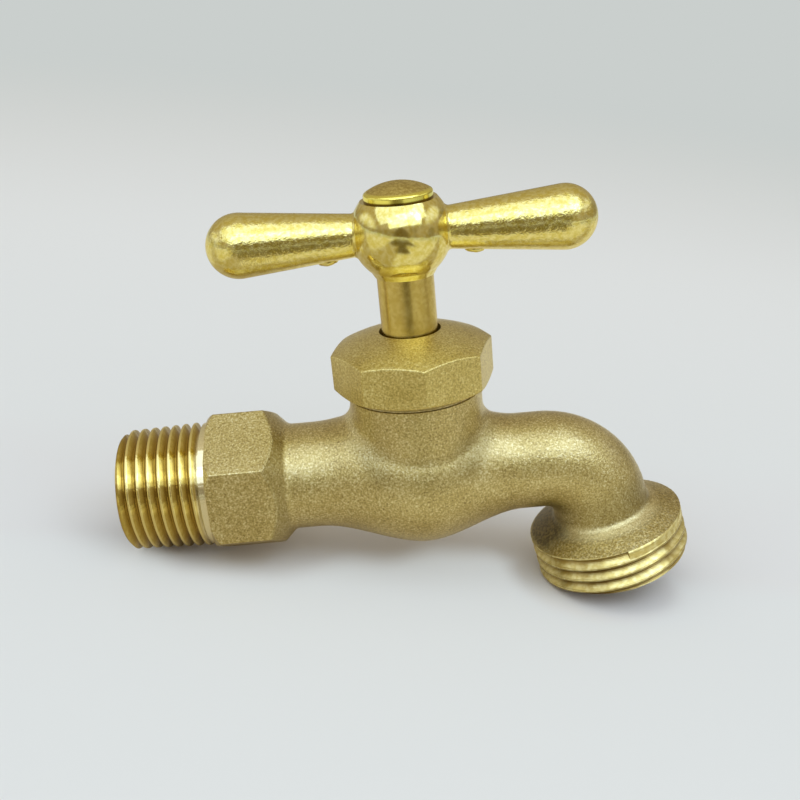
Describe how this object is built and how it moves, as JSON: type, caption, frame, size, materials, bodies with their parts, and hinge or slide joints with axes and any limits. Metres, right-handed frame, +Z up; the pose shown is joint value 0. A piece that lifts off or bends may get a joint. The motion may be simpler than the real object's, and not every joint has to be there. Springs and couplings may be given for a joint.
{
  "type": "hose bibb",
  "caption": "Brass garden tap with tapered pipe-thread inlet, rising screw stem, tee handle and angled hose-thread outlet.",
  "frame": {"origin": "centre of the inlet's end face", "axes": "+X along the inlet towards the outlet end, +Z up the stem towards the handle, +Y to the side away from the viewer of the picture"},
  "size_m": [0.0976, 0.0272, 0.0734],
  "materials": {
    "cast_brass": "satin, blasted casting",
    "turned_brass": "fine turned",
    "plated_handle": "bright plated casting",
    "packing": "graphited square braid",
    "rubber": "matte",
    "steel": "zinc-plated"
  },
  "bodies": {
    "valve_body": {"body_casting": "cast_brass", "bonnet_nut": "cast_brass", "packing_washer": "turned_brass", "packing_ring_1": "packing", "packing_ring_2": "packing", "gland_ring": "turned_brass"},
    "washer_carrier": {"seat_washer": "rubber"},
    "handle_stem": {"stem": "turned_brass", "bibb_screw": "turned_brass", "tee_handle": "plated_handle", "lock_washer": "steel", "handle_screw": "steel", "handle_cap": "plated_handle"}
  },
  "joints": [
    {"name": "stem_lift", "type": "slide", "parent": "valve_body", "child": "washer_carrier", "axis": [0, 0, 1], "range_m": [0, 0.00635]},
    {"name": "handle_turn", "type": "hinge", "parent": "washer_carrier", "child": "handle_stem", "pos_m": [0.0515, 0, 0], "axis": [0, 0, 1], "range_deg": [0, 720]}
  ],
  "couplings": [
    {"joint": "stem_lift", "follows": "handle_turn", "m_per_rad": 0.00050532}
  ]
}
